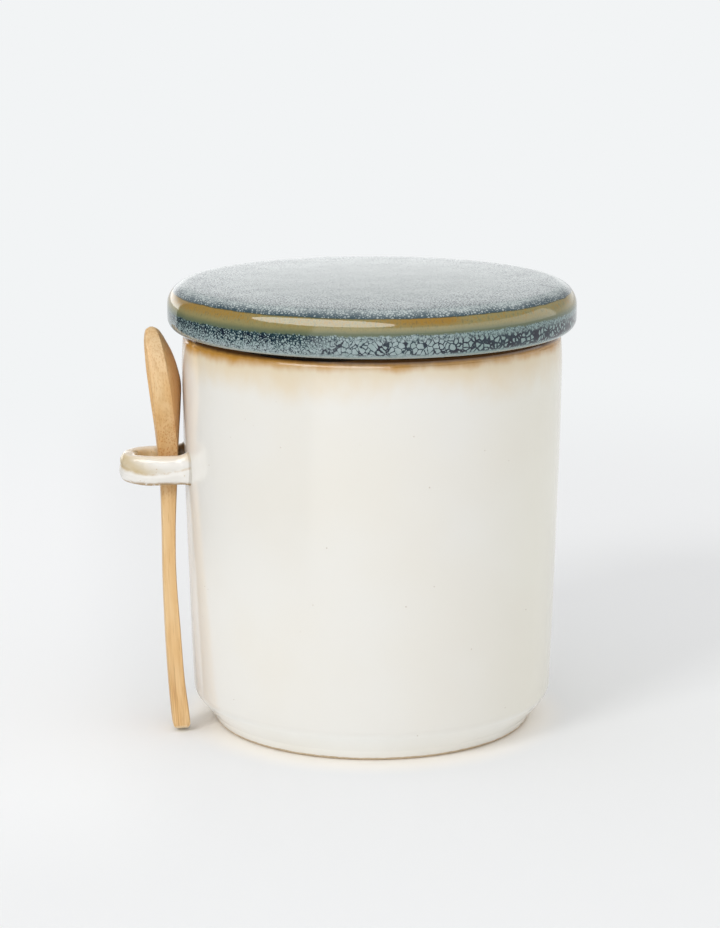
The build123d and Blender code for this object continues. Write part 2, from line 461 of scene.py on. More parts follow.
@dataclass(frozen=True)
class RingGlaze(Finish):
    """The same cream on the strap, thin and golden on its inside, its edges and its seam."""

    name = "ring glaze"
    height: float = 0.0838
    tip_centre: float = -0.0698
    hole_radius: float = 0.0048
    outer_radius: float = 0.0107
    top_edge: Span = (0.0028, 0.0044)
    low_edge: Span = (-0.0030, -0.0040)
    patch_run: Span = (-0.0605, -0.0755)
    wall_line: Span = (0.0606, 0.0603)
    corner: Span = (0.0650, 0.0618)
    seam: Seam = Seam()
    cream: Colour = tone(238, 235, 229)
    pale_tan: Colour = tone(238, 222, 196)
    tan: Colour = tone(200, 170, 120)
    gold: Colour = tone(206, 176, 116)
    patch_tan: Colour = tone(200, 176, 124)
    foot_tan: Colour = tone(166, 134, 86)
    olive: Colour = tone(120, 102, 64)
    painted_corner_shade: Colour = tone(112, 90, 56)

    def sockets(self, b: Bench) -> dict[str, Any]:
        """Thin the glaze on the strap's edges, its seam and its inside.

        Args:
            b: The material's bench.

        Returns:
            What each socket takes.
        """
        place = b.spot()
        x, y, z = b.parts(place)
        radius = b.reach(x, y)
        runs = b.cloud(b.turned(place, (0.4, 0.4, 1)), 0.0030, 3, 0.55) - 0.5
        fine = b.cloud(place, 0.0009, 2, 0.55)
        blot = b.cloud(place, 0.0045) - 0.5
        from_middle = b.reach((self.tip_centre - x).most(0.0), y)
        on_front = (from_middle - self.outer_radius).over(-0.0022, -0.0012)
        on_front = on_front * (-y).over(-0.006, -0.002)

        # Pale tan along the top, a broken golden line along the foot, a faint tan line in the seam
        rise = z - self.height + runs * 0.0012
        top = (rise + blot * 0.002).over(*self.top_edge)
        low = (rise + blot * 0.0012).over(*self.low_edge) * (fine + blot).over(0.10, 0.40)
        off_seam = z - self.height + runs * 0.0004 - self.seam.rise(x - self.tip_centre)
        at_seam = abs(off_seam).over(0.0006, 0.0001) * (fine + blot).over(0.2, 0.7) * on_front
        patch = (off_seam + blot * 0.002 + x.over(-0.072, -0.076) * 0.0006).over(-0.0007, 0.0012)
        patch = patch * (x + runs * 0.008 + off_seam * 2.2).over(*self.patch_run)
        inside = (from_middle - self.hole_radius + runs * 0.0012).over(0.0020, 0.0008)

        # A thin brown line where the strap meets the wall, and painted shade in the far corner
        at_wall = (radius + runs * 0.0004).over(*self.wall_line)
        corner = (radius + runs * 0.0008).over(*self.corner) * y.over(0.0, 0.004)
        pit = b.pits(place, 0.003, (0.09, 0.05), b.cloud(place, 0.007, 1).over(0.5, 0.6))
        colour = b.coats(
            self.cream,
            (top * 0.70, self.pale_tan),
            (patch * on_front * (0.82 + runs * 0.9), self.patch_tan),
            (at_seam * 0.45, self.tan),
            (low * 0.9, self.foot_tan),
            (inside * (0.85 + blot * 0.6).least(1.0), self.gold),
            (inside * (fine + blot).over(0.55, 0.80) * 0.6, self.olive),
            (at_wall * 0.35, self.olive),
            # Painted shade in the far corner by the wall
            (corner * y.over(0.0080, 0.0066) * 0.85, self.painted_corner_shade),
            (pit * 0.5, self.tan),
        )
        swell = b.cloud(place, 0.005, 1.5, 0.4)
        return {"Base Color": colour, "Roughness": 0.11 + runs * 0.06, "IOR": 1.5,
                "Normal": b.bumps((swell, 0.0006, 0.5), (fine - pit, 0.00008, 0.5))}


@dataclass(frozen=True)
class ReactiveGlaze(Finish):
    """Blue grey islands in a dark net, with an olive band where the glaze thins on the edge."""

    name = "reactive glaze"
    break_height: float = 0.13925
    band_foot: float = 0.1344
    small_cell: float = 0.00080
    large_cell: float = 0.00160
    top_cell: float = 0.00088
    net_foot: Span = (0.1288, 0.1279)
    net_middle: tuple[Span, Span] = ((0.1280, 0.1289), (0.1338, 0.1322))
    net_upper: Span = (0.1300, 0.1334)
    open_side: Span = (0.005, 0.030)
    dull_side: Span = (0.006, 0.024)
    top_outward: Span = (0.036, 0.0625)
    top_middle: Span = (0.030, 0.050)
    top_shoulder: Span = (0.0570, 0.0602)
    top_line: Span = (0.0596, 0.0632)
    left_gold: Span = (-0.034, -0.052)
    gold_middle: float = 0.0085
    underside_below: Span = (0.12735, 0.12710)
    flange_inside: Span = (0.0530, 0.0525)
    hollow_roof: Span = (0.1352, 0.1346)
    seat_edge: Span = (0.0600, 0.0590)
    island: Colour = tone(158, 174, 175)
    shaded_island: Colour = tone(130, 154, 150)
    top_island: Colour = tone(164, 174, 173)
    pale_island: Colour = tone(196, 206, 205)
    top_net: Colour = tone(30, 60, 74)
    net: Colour = tone(30, 50, 60)
    deep_net_and_shade: Colour = tone(10, 18, 40)
    teal_net: Colour = tone(40, 70, 72)
    olive: Colour = tone(146, 137, 92)
    gold: Colour = tone(158, 116, 36)
    olive_green: Colour = tone(98, 108, 84)
    line: Colour = tone(52, 66, 62)
    pale_edge: Colour = tone(172, 182, 180)
    underside: Colour = tone(214, 204, 184)
    clay: Colour = tone(205, 180, 146)

    def edge_colour(self, b: Bench, place: Socket) -> Socket:
        """Islands and net of the edge: fine and dark at the left, large and open at the right.

        Args:
            b: The material's bench.
            place: The place on the lid.

        Returns:
            The colour below the band.
        """
        x, _, z = b.parts(place)
        grown = b.shifted(b.shifted(place, 0.0026, 0.0005), 0.0007, 0.00014)
        patch = b.cloud(b.turned(place, (1, 1, 0.7)), 0.0042, 2, 0.55)
        drift = b.cloud(place, 0.0016)
        grain = b.cloud(place, 0.00075, 2, 0.6) - 0.5
        to_right = (x + (patch - 0.5) * 0.02).over(-0.034, -0.010)
        low, high = self.net_middle
        big = to_right * z.over(*low) * z.over(*high)
        upper_left = z.over(*self.net_upper) * (1.0 - to_right)
        width_small = 0.08 + upper_left * 0.12 + (drift - 0.5) * 0.20 + grain * 0.44
        blobs = (patch + drift * 0.6).over(0.80, 1.05) * 0.15
        width_large = 0.065 + x.over(*self.open_side) * 0.098 + blobs + grain * 0.24
        net_small = (width_small - b.cells(grown, self.small_cell, Gauge.EDGE)).over(-0.07, 0.07)
        net_large = (width_large - b.cells(grown, self.large_cell, Gauge.EDGE)).over(-0.03, 0.03)
        net = net_small * (1.0 - big * 0.85 - to_right * 0.12) + net_large * big
        net = net.least(1.0) * (1.0 - z.over(*self.net_foot) * 0.75)
        dull = (drift.over(0.35, 0.65) * 0.45).most(upper_left * 0.6)
        shade = b.coats(
            self.net,
            (patch.over(0.4, 0.65), self.deep_net_and_shade),
            (z.over(0.1328, 0.1343) * 0.5, self.teal_net),
        )
        return b.coats(
            self.island,
            (dull.most(x.over(*self.dull_side) * 0.75), self.shaded_island),
            (net, shade),
        )

    def top_colour(self, b: Bench, place: Socket, radius: Signal) -> Socket:
        """The same glaze on top, finer and fainter, with a denser net at the break line.

        Args:
            b: The material's bench.
            place: The place on the lid.
            radius: Distance from the lid's axis.

        Returns:
            The colour above the band.
        """
        fine = b.cloud(place, 0.0007, 2, 0.55) - 0.5
        patch = b.cloud(place, 0.006) - 0.5
        middle = radius.over(*self.top_middle)
        shoulder = radius.over(*self.top_shoulder)
        at_line = (radius + patch * 0.003).over(*self.top_line)
        outward = radius.over(*self.top_outward)
        width = 0.07 + outward * 0.05 + at_line * 0.15 + fine * 0.50 + patch * 0.16
        depth = 0.50 + middle * 0.48 - shoulder * 0.46 + at_line * 0.40
        cell = b.cells(b.shifted(place, 0.0009, 0.00022), self.top_cell, Gauge.EDGE)
        net = (width - cell).over(-0.05, 0.05) * depth
        pale = (middle * 0.65 + shoulder * 0.20 - at_line * 0.90).most(0.0)
        return b.coats(self.top_island, (pale, self.pale_island), (net.least(1.0), self.top_net))

    def band_colour(self, b: Bench, place: Socket, down: Signal) -> Socket:
        """Gold above, olive in the middle, grey green where the band meets the net.

        Args:
            b: The material's bench.
            place: The place on the lid.
            down: Share of the way down the band.

        Returns:
            The band's colour.
        """
        x, _, _ = b.parts(place)
        drift = b.cloud(place, 0.016)
        freckle = b.cloud(b.turned(place, (1, 1, 0.5)), 0.0007, 2, 0.6)
        near_gold = abs(x - self.gold_middle + (drift - 0.5) * 0.02).over(0.014, 0.004)
        golden = (x.over(*self.left_gold) * 0.6).most(near_gold * 0.85)
        golden = golden.most(drift.over(0.55, 0.75) * 0.35)
        return b.coats(
            self.olive,
            (golden * down.over(0.60, 0.20) * 0.9, self.gold),
            (freckle.over(0.46, 0.66) * down.over(0.8, 0.3) * 0.5, self.gold),
            (down.over(0.55, 0.95), self.olive_green),
            (freckle.over(0.50, 0.30) * down.over(0.9, 0.4) * 0.30, self.line),
            (freckle.over(0.45, 0.72) * down.over(0.3, 0.8) * 0.4, self.olive_green),
        )

    def sockets(self, b: Bench) -> dict[str, Any]:
        """Join the edge, the band and the top, and leave the seat bare below.

        Args:
            b: The material's bench.

        Returns:
            What each socket takes.
        """
        place = b.spot()
        x, y, z = b.parts(place)
        radius = b.reach(x, y)
        fine = b.cloud(place, 0.0011, 2, 0.55)
        ripple = fine - 0.5
        wander = b.cloud(place, 0.009) - 0.5
        break_line = self.break_height + wander * 0.0006 + ripple * 0.0002
        foot_line = self.band_foot + x * 0.006 + wander * 0.0006
        down = (break_line - z) / (break_line - foot_line)
        on_top = down.over(0.01, -0.03)

        # Below: painted shade on the underside under the overhang, bare clay on the seat and cream
        # inside the flange
        below = z.over(*self.underside_below)
        hollow = radius.over(*self.flange_inside) * z.over(*self.hollow_roof)
        seat_clay = below * (1.0 - hollow) * radius.over(*self.seat_edge)
        grit = b.cloud(place, 0.0006, 2, 0.6).over(0.3, 0.7)
        colour = b.coats(
            self.edge_colour(b, place),
            ((down + ripple * 0.30).over(1.08, 0.94), self.band_colour(b, place, down)),
            (down.over(0.06, 0.0) * 0.85, self.line),
            (on_top, self.top_colour(b, place, radius)),
            ((z + ripple * 0.0004).over(0.1279, 0.1274) * 0.7, self.pale_edge),
            # Painted shade on the lid's underside
            (below * 0.9, self.deep_net_and_shade),
            (hollow, self.underside),
            (seat_clay, b.coats(self.clay, (grit * 0.35, self.olive))),
        )
        swell = b.cloud(place, 0.013, 1.5, 0.4)
        return {"Base Color": colour, "Roughness": 0.06 + on_top * 0.12 + seat_clay * 0.6,
                "IOR": 1.52, "Normal": b.bumps((swell, 0.0003, 0.25), (fine, 0.000025, 0.3))}


@dataclass(frozen=True)
class Silicone(Finish):
    """Milky silicone with a satin skin."""

    name = "milky silicone"
    scatter: float = 0.002
    milk: Colour = tone(226, 226, 222)
    shade: Colour = tone(205, 205, 200)

    def sockets(self, b: Bench) -> dict[str, Any]:
        """Dust the skin a little.

        Args:
            b: The material's bench.

        Returns:
            What each socket takes.
        """
        place = b.spot()
        dust = b.cloud(place, 0.0018, 3, 0.6)
        return {
            "Base Color": b.coats(self.milk, (dust.over(0.35, 0.75) * 0.5, self.shade)),
            "Roughness": 0.38 + dust * 0.12,
            "Subsurface Weight": 0.25,
            "Subsurface Radius": (self.scatter,) * 3,
            "Subsurface Scale": 0.5,
            "IOR": 1.42,
            "Normal": b.bumps((b.cloud(place, 0.0004, 1), 0.00001, 0.5)),
        }


@dataclass(frozen=True)
class Bamboo(Finish):
    """Bare carved bamboo: straight fibres that show as streaks along it and as dots on its cuts."""

    name = "carved bamboo"
    turn: Triple = (0.0, 0.0, 0.0)
    foot: Point = (-0.0632, 0.0008)
    lean: float = -0.0482
    neck: tuple[Span, Span] = ((0.070, 0.082), (0.108, 0.092))
    head: Span = (0.098, 0.110)
    low_stem: Span = (0.030, 0.012)
    belly: Span = (0.0030, 0.0056)
    bowl: Span = (0.088, 0.100)
    cut: Span = (0.0025, 0.0014)
    honey: Colour = tone(226, 184, 126)
    pale: Colour = tone(235, 202, 152)
    fibre: Colour = tone(194, 142, 76)
    ember: Colour = tone(194, 126, 54)
    painted_belly_shade: Colour = tone(198, 124, 44)
    cut_end: Colour = tone(243, 222, 184)
    dark: Colour = tone(158, 106, 56)

    def sockets(self, b: Bench) -> dict[str, Any]:
        """Lay the fibres along the spoon.

        Args:
            b: The material's bench.

        Returns:
            What each socket takes.
        """
        place = b.spot()
        x, _, z = b.parts(place)
        grain = b.turned(place, turn=self.turn)
        inward = x - self.foot[0] - (z - self.foot[1]) * self.lean
        long_streak = b.cloud(b.turned(grain, (1, 1, 0.03)), 0.0011, 2, 0.55)
        short_streak = b.cloud(b.turned(grain, (1, 1, 0.05)), 0.00032, 2, 0.6)
        line = b.cloud(b.turned(grain, (1, 1, 0.015)), 0.00046, 1)
        drift = b.cloud(b.turned(grain, (1, 1, 0.25)), 0.006)
        strands = b.turned(b.shifted(grain, 0.02, 0.0002), (1, 1, 0.045))
        strand = b.cells(strands, 0.00058, Gauge.CENTRE)
        dot = b.cells(b.turned(grain, (1, 1, 0.45)), 0.00052, Gauge.CENTRE)
        neck_low, neck_high = self.neck
        neck = z.over(*neck_low) * z.over(*neck_high)
        foot = z.over(*self.low_stem)
        dotted = neck.most(z.over(*self.head) * 0.40)
        colour = b.coats(
            self.honey,
            (drift.over(0.3, 0.7), self.pale),
            (neck * 0.22, self.fibre),
            (long_streak.over(0.42, 0.75) * (0.40 + foot * 0.25), self.fibre),
            (strand.over(0.28, 0.15) * short_streak.over(0.42, 0.62) * 0.5, self.fibre),
            (dot.over(0.46, 0.26) * dotted * 0.68, self.ember),
            # Painted shade on the belly facet, which faces the jar
            (inward.over(*self.belly) * z.over(*self.bowl) * 0.42, self.painted_belly_shade),
            (short_streak.over(0.60, 0.80) * (0.30 + foot * 0.25), self.dark),
            (line.over(0.48, 0.62) * foot * 0.45, self.fibre),
            (line.over(0.60, 0.70) * foot * 0.28, self.dark),
            (z.over(*self.cut) * 0.9, self.cut_end),
        )
        normal = b.bumps((short_streak, 0.00012, 0.35), (strand, 0.00005, 0.3))
        return {"Base Color": colour, "Roughness": 0.46 + short_streak * 0.14, "IOR": 1.45,
                "Normal": normal}


@dataclass(frozen=True)
class Corner:
    """One corner of a turned outline: its radius from the axis, its height and its rounding."""

    radius: float
    height: float
    rounding: float = 0.0


def rounded_wire(corners: list[Corner], closed: bool = False, segments: int = 7) -> Shape:
    """Draw an outline in the XZ plane and round its corners.

    Args:
        corners: The corners in order.
        closed: Whether the last joins the first.
        segments: Pieces of each rounding.

    Returns:
        The outline as a wire.
    """
    wire = bmesh.new()
    posts = [wire.verts.new((corner.radius, 0.0, corner.height)) for corner in corners]
    ends = posts[1:] + posts[:1] if closed else posts[1:]
    for start, end in zip(posts, ends):
        wire.edges.new((start, end))
    for post, corner in zip(posts, corners):
        if not corner.rounding:
            continue
        arms = [(edge.other_vert(post).co - post.co).normalized() for edge in post.link_edges]
        half = arms[0].angle(arms[1]) / 2
        bmesh.ops.bevel(wire, geom=[post], offset=corner.rounding / math.tan(half),
                        offset_type="OFFSET", affect="VERTICES", segments=segments, profile=0.5,
                        material=-1)
    return wire


def bow(wire: Shape, start: Point, end: Point, reach: Point, cuts: int) -> None:
    """Cut the straight run between two points of an outline and bow it.

    Args:
        wire: The outline.
        start: A point at or near the run's start, as radius and height.
        end: A point at or near its end.
        reach: How far the middle moves out and up.
        cuts: How many points are added.
    """
    def nearest(point: Point) -> bmesh.types.BMVert:
        """The outline's vertex nearest to a point."""
        goal = Vector((point[0], 0.0, point[1]))
        return min(wire.verts, key=lambda vert: (vert.co - goal).length)

    first, last = nearest(start), nearest(end)
    run = next(edge for edge in first.link_edges if edge.other_vert(first) is last)
    origin, line = first.co.copy(), last.co - first.co
    made = bmesh.ops.subdivide_edges(wire, edges=[run], cuts=cuts)
    for vert in made["geom_inner"]:
        if isinstance(vert, bmesh.types.BMVert):
            share = (vert.co - origin).dot(line) / line.length_squared
            lift = 4 * share * (1 - share)
            vert.co += Vector((reach[0] * lift, 0.0, reach[1] * lift))


def turned_on_axis(wire: Shape, steps: int) -> Shape:
    """Spin an outline round the jar's axis and close it.

    Args:
        wire: The outline, which becomes the turned shape.
        steps: How many pieces the circle has.

    Returns:
        The same mesh, closed and facing outwards.
    """
    bmesh.ops.spin(wire, geom=wire.verts[:] + wire.edges[:], cent=(0, 0, 0), axis=(0, 0, 1),
                   angle=math.tau, steps=steps, use_merge=True, use_duplicate=False)
    bmesh.ops.remove_doubles(wire, verts=wire.verts[:], dist=1e-7)
    bmesh.ops.recalc_face_normals(wire, faces=wire.faces[:])
    return wire


def drawn_out(loops: list[list[Vector]]) -> Shape:
    """Start from a disc and draw its face out from loop to loop.

    Args:
        loops: The loops' points, as many in each.

    Returns:
        The closed shape, facing outwards.
    """
    shape = bmesh.new()
    bmesh.ops.create_circle(shape, cap_ends=True, segments=len(loops[0]), radius=0.003)
    shape.faces.ensure_lookup_table()
    end = shape.faces[0]
    ring = list(end.verts)
    for step, loop in enumerate(loops):
        if step:
            grown = bmesh.ops.extrude_face_region(shape, geom=[end])["geom"]
            fresh = {item for item in grown if isinstance(item, bmesh.types.BMVert)}
            ring = [next(edge.other_vert(old) for edge in old.link_edges
                         if edge.other_vert(old) in fresh) for old in ring]
            if step > 1:
                bmesh.ops.delete(shape, geom=[end], context="FACES_ONLY")
            end = next(item for item in grown if isinstance(item, bmesh.types.BMFace))
        for vert, point in zip(ring, loop):
            vert.co = point
    bmesh.ops.recalc_face_normals(shape, faces=shape.faces[:])
    return shape


def piece_from(shape: Shape, name: str, material: bpy.types.Material,
               crease_angle: float = 40.0) -> bpy.types.Object:
    """Make a shape an object of the scene with a finish, smooth but for its sharp edges.

    Args:
        shape: The finished shape, which is freed.
        name: The piece's name.
        material: Its finish.
        crease_angle: Edges that turn by more than this many degrees stay sharp.

    Returns:
        The new object.
    """
    for edge in shape.edges:
        if len(edge.link_faces) == 2:
            edge.smooth = edge.calc_face_angle() < math.radians(crease_angle)
    for face in shape.faces:
        face.smooth = True
    mesh = bpy.data.meshes.new(name)
    shape.to_mesh(mesh)
    shape.free()
    mesh.materials.append(material)
    piece = bpy.data.objects.new(name, mesh)
    bpy.context.scene.collection.objects.link(piece)
    log.info("%s: %d faces", name, len(mesh.polygons))
    return piece


class Piece:
    """What every piece shares: its name, its body, the CAD node it stands for and its slot."""

    name: ClassVar[str]
    body: ClassVar[Body]
    node: ClassVar[str]
    slot: ClassVar[Slot]
    finish: Finish
    crease_angle: float = 40.0

    def shape(self) -> Shape:
        """Draw the piece. Each piece has its own way."""
        raise NotImplementedError

    def build(self) -> bpy.types.Object:
        """Draw the piece, give it its finish and let it ride on its body in place of its node.

        Returns:
            The finished piece.
        """
        piece = piece_from(self.shape(), self.name, self.finish.material(), self.crease_angle)
        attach(piece, self.body.value)
        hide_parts(self.node)
        return piece


@dataclass
class JarBody(Piece):
    """The stoneware body: foot ring, bevelled heel, bowed wall, rounded rim and glazed inside."""

    name = "glazed_body"
    body = Body.JAR
    node = "jar_body"
    slot = Slot.JAR_GLAZE
    finish: Finish = CreamGlaze()
    wall_radius: float = 0.0602
    widest_height: float = 0.112
    rim_height: float = 0.127
    rim_radius: float = 0.0594
    rim_round: float = 0.002
    mouth_radius: float = 0.0544
    mouth_foot: float = 0.112
    mouth_round: float = 0.0014
    heel_radius: float = 0.0576
    heel_height: float = 0.0097
    heel_round: float = 0.005
    heel_round_end: Point = (0.0001, 0.0019)
    foot_radius: float = 0.0504
    foot_round: float = 0.0008
    crease_radius: float = 0.0522
    crease_height: float = 0.0034
    crease_round: float = 0.003
    recess_radius: float = 0.0445
    recess_height: float = 0.0025
    recess_rounds: tuple[float, float] = (0.001, 0.0004)
    inside_radius: float = 0.0526
    floor_height: float = 0.007
    floor_round: float = 0.008
    wall_bow: float = 0.0003
    shoulder_bow: float = 0.0002
    bow_cuts: tuple[int, int, int] = (15, 5, 11)
    ledge_height: float = 0.12435
    ledge_radius: float = 0.05963
    ledge_depth: float = 0.00026
    ledge_tall: float = 0.00056
    ledge_round: float = 0.0003
    wobble: float = 0.00012
    wobble_rate: float = 28.0
    steady_foot: float = 0.02
    steady_rim: float = 0.01
    steps: int = 240

    def outline(self) -> Shape:
        """Draw half of the body's section, from the recess round to the inside floor.

        Returns:
            The outline with its roundings and bows.
        """
        deep, tall = self.ledge_depth / 2, self.ledge_tall / 2
        ledge_foot = (self.ledge_radius + deep, self.ledge_height - tall)
        ledge_top = (self.ledge_radius - deep, self.ledge_height + tall)
        recess_inner, recess_outer = self.recess_rounds
        widest = (self.wall_radius, self.widest_height)
        wire = rounded_wire([
            Corner(0.0, self.recess_height),
            Corner(self.recess_radius, self.recess_height, recess_inner),
            Corner(self.recess_radius, 0.0, recess_outer),
            Corner(self.foot_radius, 0.0, self.foot_round),
            Corner(self.crease_radius, self.crease_height, self.crease_round),
            Corner(self.heel_radius, self.heel_height, self.heel_round),
            Corner(*widest),
            Corner(*ledge_foot, self.ledge_round),
            Corner(*ledge_top, self.ledge_round),
            Corner(self.rim_radius, self.rim_height, self.rim_round),
            Corner(self.mouth_radius, self.rim_height, self.mouth_round),
            Corner(self.mouth_radius, self.mouth_foot),
            Corner(self.inside_radius, self.floor_height, self.floor_round),
            Corner(0.0, self.floor_height),
        ])
        wall_cuts, shoulder_cuts, inside_cuts = self.bow_cuts
        heel_out, heel_up = self.heel_round_end
        below_ledge = (ledge_foot[0], ledge_foot[1] - self.ledge_round / 3)
        bow(wire, (self.heel_radius + heel_out, self.heel_height + heel_up), widest,
            (self.wall_bow, 0.0), wall_cuts)
        bow(wire, widest, below_ledge, (self.shoulder_bow, 0.0), shoulder_cuts)
        bow(wire, (self.mouth_radius, self.mouth_foot),
            (self.inside_radius, self.floor_height + self.floor_round),
            (self.wall_bow, 0.0), inside_cuts)
        return wire

    def shape(self) -> Shape:
        """Turn the body and let its wall waver as a thrown one does.

        Returns:
            The body's shape.
        """
        shape = turned_on_axis(self.outline(), self.steps)
        for vert in shape.verts:
            radius = math.hypot(vert.co.x, vert.co.y)
            if radius < self.mouth_radius / 2:
                continue
            below_rim = max(0.0, self.rim_height - vert.co.z)
            free = min(1.0, vert.co.z / self.steady_foot) * min(1.0, below_rim / self.steady_rim)
            waver = noise.noise(vert.co * self.wobble_rate) * self.wobble * free
            vert.co.xy += vert.co.xy / radius * waver
        return shape


@dataclass
class Lid(Piece):
    """The lid: a thick overhanging disc with a rounded edge, and a grooved flange below."""

    name = "glazed_lid"
    body = Body.LID
    node = "lid"
    slot = Slot.LID_GLAZE
    finish: Finish = ReactiveGlaze()
    radius: float = 0.0645
    rim_height: float = 0.127
    top_height: float = 0.1419
    crown_rise: float = 0.0007
    crown_bow: float = 0.25
    crown_cuts: int = 15
    top_round: float = 0.0066
    lower_round: float = 0.0037
    flange_radius: float = 0.0522
    flange_foot: float = 0.119
    flange_round: float = 0.0012
    hollow_radius: float = 0.0462
    hollow_roof: float = 0.134
    hollow_round: float = 0.004
    groove_middle: float = 0.123
    groove_width: float = 0.0036
    groove_depth: float = 0.0016
    groove_round: float = 0.0002
    round_steps: int = 12
    steps: int = 240

    def outline(self) -> Shape:
        """Draw half of the lid's section, from the crown round to the hollow's roof.

        Returns:
            The outline with its roundings.
        """
        groove_radius = self.flange_radius - self.groove_depth
        groove_top = self.groove_middle + self.groove_width / 2
        groove_foot = self.groove_middle - self.groove_width / 2
        shoulder = self.top_height - self.crown_rise
        wire = rounded_wire([
            Corner(0.0, self.top_height),
            Corner(self.radius, shoulder, self.top_round),
            Corner(self.radius, self.rim_height, self.lower_round),
            Corner(self.flange_radius, self.rim_height),
            Corner(self.flange_radius, groove_top, self.groove_round),
            Corner(groove_radius, groove_top),
            Corner(groove_radius, groove_foot),
            Corner(self.flange_radius, groove_foot, self.groove_round),
            Corner(self.flange_radius, self.flange_foot, self.flange_round),
            Corner(self.hollow_radius, self.flange_foot, self.flange_round),
            Corner(self.hollow_radius, self.hollow_roof, self.hollow_round),
            Corner(0.0, self.hollow_roof),
        ], segments=self.round_steps)
        bow(wire, (0.0, self.top_height), (self.radius - self.top_round, shoulder),
            (0.0, self.crown_rise * self.crown_bow), self.crown_cuts)
        return wire

    def shape(self) -> Shape:
        """Turn the lid."""
        return turned_on_axis(self.outline(), self.steps)


@dataclass
class LidSeal(Piece):
    """The silicone seal: a band in the flange's groove with two soft ribs."""

    name = "silicone_seal"
    body = Body.LID
    node = "lid_seal"
    slot = Slot.SEAL_SILICONE
    finish: Finish = Silicone()
    inner_radius: float = 0.0506
    inner_round: float = 0.0001
    outer_radius: float = 0.0541
    middle: float = 0.123
    height: float = 0.0035
    rib: float = 0.0011
    rib_round: float = 0.49
    band_radius: float = 0.0522
    round_steps: int = 5
    steps: int = 200

    def shape(self) -> Shape:
        """Draw the seal's section and turn it.

        Returns:
            The seal's shape.
        """
        foot, top = self.middle - self.height / 2, self.middle + self.height / 2
        end = self.rib * self.rib_round
        wire = rounded_wire([
            Corner(self.inner_radius, foot, self.inner_round),
            Corner(self.outer_radius, foot, end),
            Corner(self.outer_radius, foot + self.rib, end),
            Corner(self.band_radius, foot + self.rib),
            Corner(self.band_radius, top - self.rib),
            Corner(self.outer_radius, top - self.rib, end),
            Corner(self.outer_radius, top, end),
            Corner(self.inner_radius, top, self.inner_round),
        ], closed=True, segments=self.round_steps)
        return turned_on_axis(wire, self.steps)


@dataclass
class Station:
    """One station of the strap: its middle, the way it faces, its thickness and its height."""

    middle: Vector
    heading: float
    wide: float
    tall: float


